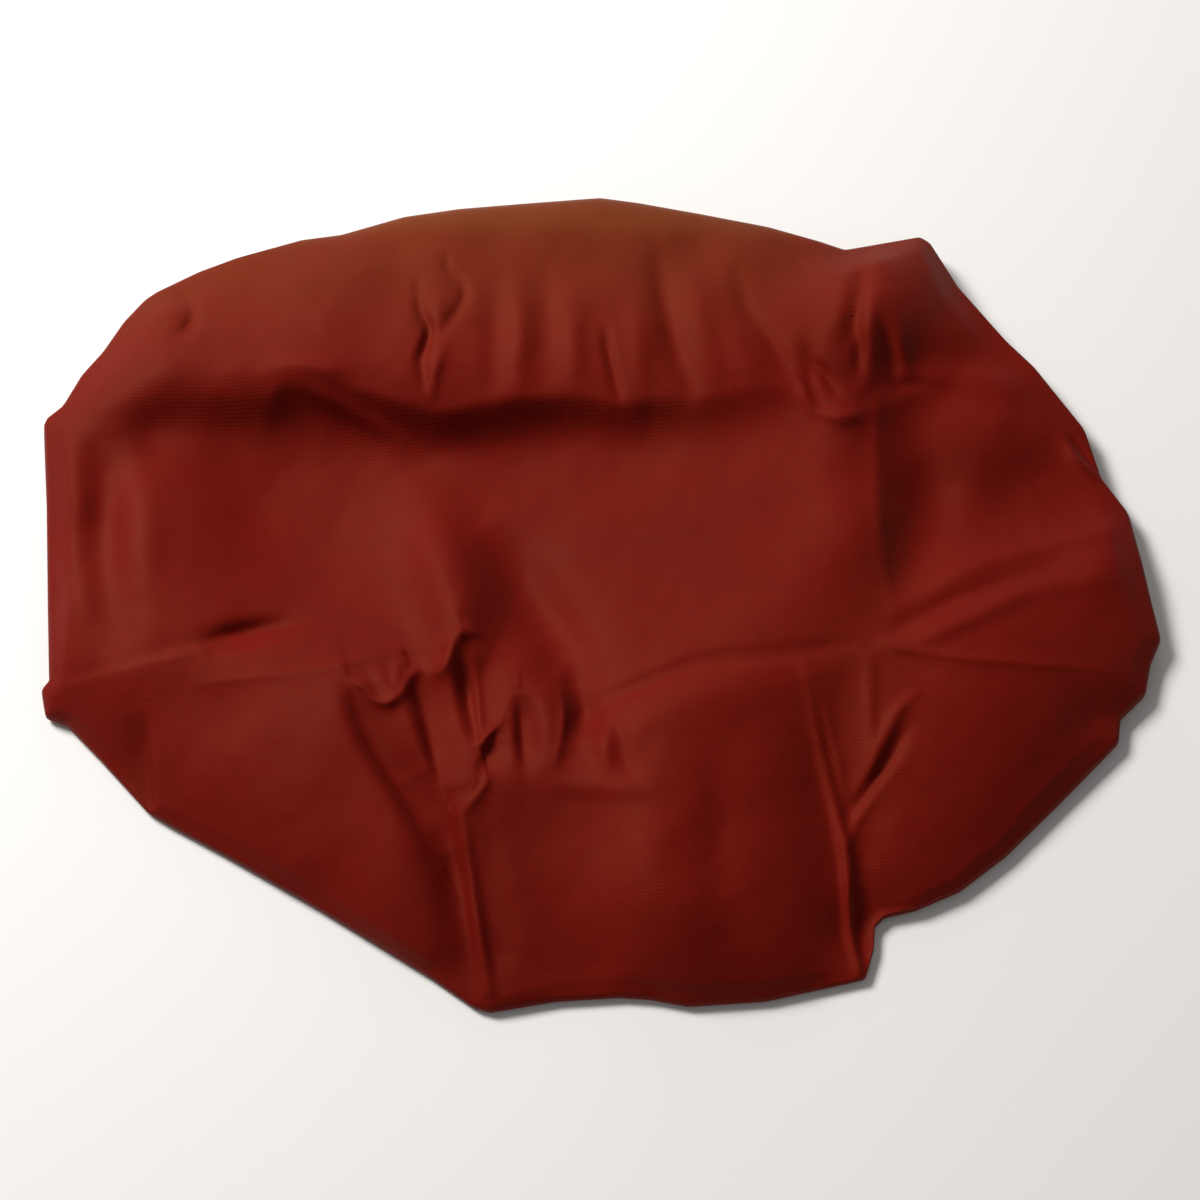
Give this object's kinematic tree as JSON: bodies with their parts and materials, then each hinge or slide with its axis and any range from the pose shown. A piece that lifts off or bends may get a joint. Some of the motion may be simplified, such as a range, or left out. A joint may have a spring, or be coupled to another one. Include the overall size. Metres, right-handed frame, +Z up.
{
  "type": "kayak spray skirt",
  "caption": "One-piece fabric cover for a kayak cockpit, laid down with its gathered elastic hem rolled under and a release loop at the bow.",
  "frame": {"origin": "centre of the cover's footprint, on the surface it lies on", "axes": "+X along the cover's long axis towards the end with the release loop, +Y across it, +Z up"},
  "size_m": [0.89, 0.6981, 0.0898],
  "materials": {
    "coated_nylon": "satin",
    "hem_binding": "matte",
    "hem_thread": "matte",
    "cord_braid": "matte",
    "cord_rubber": "matte",
    "crimp_steel": "satin",
    "webbing": "matte",
    "bartack_thread": "matte"
  },
  "bodies": {
    "cover": {"deck_cloth": "coated_nylon", "hem_casing": "hem_binding", "casing_stitch_inner": "hem_thread", "casing_stitch_outer": "hem_thread", "cord_sheath": "cord_braid", "cord_core": "cord_rubber", "cord_crimps": "crimp_steel", "grab_loop_root": "webbing", "grab_loop_bartack": "bartack_thread", "grab_patch": "hem_binding"},
    "release_loop": {"grab_loop": "webbing"}
  },
  "joints": [
    {"name": "loop_swing", "type": "hinge", "parent": "cover", "child": "release_loop", "pos_m": [0.328, 0, 0.0135], "axis": [0, -1, 0], "range_deg": [-12, 82]}
  ]
}
